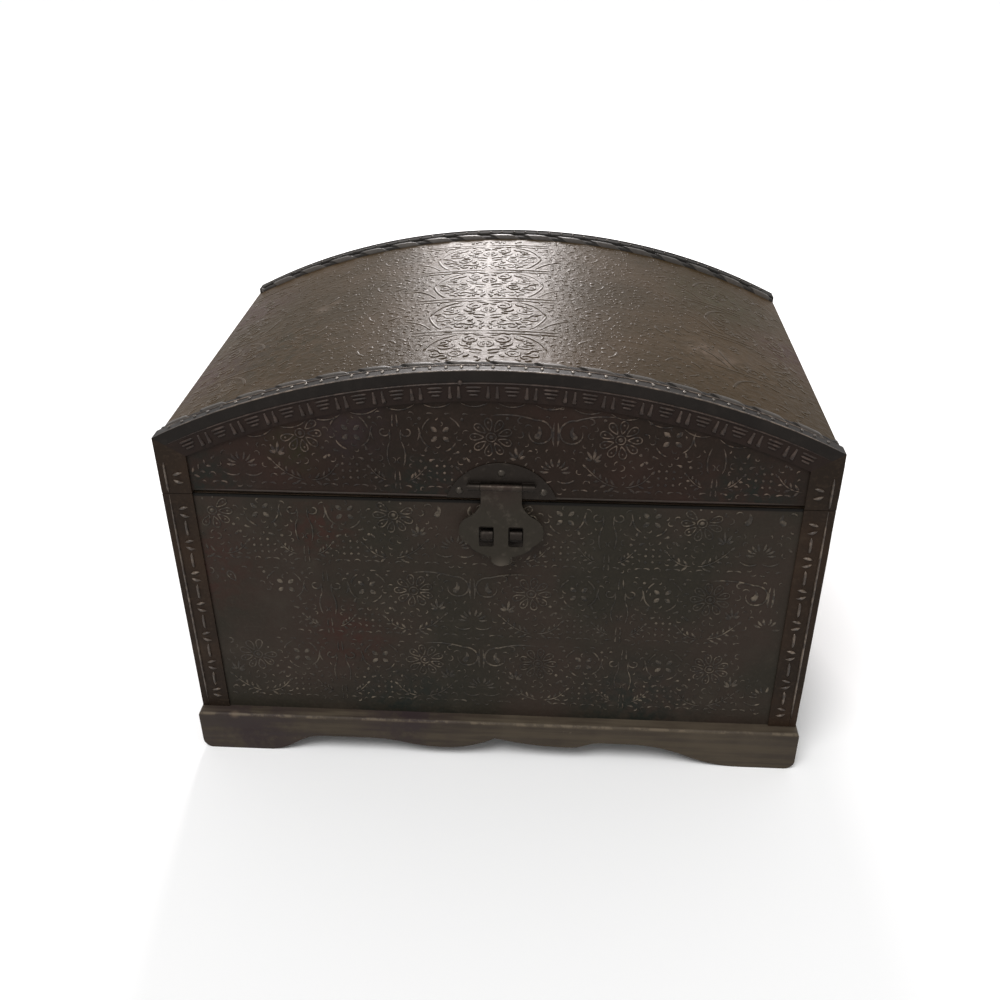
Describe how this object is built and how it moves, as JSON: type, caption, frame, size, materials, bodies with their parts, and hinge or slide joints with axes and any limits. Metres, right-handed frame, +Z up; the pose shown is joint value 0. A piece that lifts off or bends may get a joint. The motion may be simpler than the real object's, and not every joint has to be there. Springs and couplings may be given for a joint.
{
  "type": "dome top trunk",
  "caption": "Dome top trunk with a hinged barrel lid, embossed covering, rope edged rims, a lobed hasp that drops over bridge staples, and a scalloped plinth.",
  "frame": {"origin": "on the floor, under the middle of the trunk's overall box", "axes": "+X to the right of someone facing the front, +Y to the back, +Z up; the front faces -Y"},
  "size_m": [0.4054, 0.2818, 0.2861],
  "materials": {
    "carcass_wood": "dark stain, matt",
    "covering": "embossed, soft gloss",
    "plinth_wood": "brown stain, satin",
    "edging": "embossed strip, worn edges",
    "rope": "moulded rope, soft gloss",
    "dark_metal": "dark bronze, matt"
  },
  "bodies": {
    "chest": {"front_board": "carcass_wood", "back_board": "carcass_wood", "left_board": "carcass_wood", "right_board": "carcass_wood", "bottom_board": "carcass_wood", "front_cover": "covering", "back_cover": "covering", "left_cover": "covering", "right_cover": "covering", "plinth_front": "plinth_wood", "plinth_back": "plinth_wood", "plinth_left": "plinth_wood", "plinth_right": "plinth_wood", "corner_edging_front_left": "edging", "corner_edging_front_right": "edging", "corner_edging_back_left": "edging", "corner_edging_back_right": "edging", "catch_plate": "dark_metal", "catch_nails": "dark_metal", "hinge_body_leaf_left": "dark_metal", "hinge_body_leaf_right": "dark_metal", "hinge_pin_left": "dark_metal", "hinge_pin_right": "dark_metal", "hinge_body_nails": "dark_metal"},
    "lid": {"lid_front_panel": "carcass_wood", "lid_back_panel": "carcass_wood", "lid_left_rail": "carcass_wood", "lid_right_rail": "carcass_wood", "lid_barrel": "carcass_wood", "lid_front_cover": "covering", "lid_back_cover": "covering", "lid_left_cover": "covering", "lid_right_cover": "covering", "lid_top_cover": "covering", "rim_edging_front": "edging", "rim_edging_back": "edging", "rope_front": "rope", "rope_back": "rope", "lid_corner_edging_front_left": "edging", "lid_corner_edging_front_right": "edging", "lid_corner_edging_back_left": "edging", "lid_corner_edging_back_right": "edging", "hasp_plate": "dark_metal", "hasp_pin": "dark_metal", "hasp_nails": "dark_metal", "hinge_lid_leaf_left": "dark_metal", "hinge_lid_leaf_right": "dark_metal", "hinge_lid_nails": "dark_metal"},
    "hasp": {"hasp_strap": "dark_metal"}
  },
  "joints": [
    {"name": "lid_hinge", "type": "hinge", "parent": "chest", "child": "lid", "pos_m": [0, 0.1336, 0.2018], "axis": [-1, 0, 0], "range_deg": [0, 105]},
    {"name": "hasp_hinge", "type": "hinge", "parent": "lid", "child": "hasp", "pos_m": [0.0046, -0.13405, 0.212], "axis": [-1, 0, 0], "range_deg": [-7.5, 165]}
  ]
}
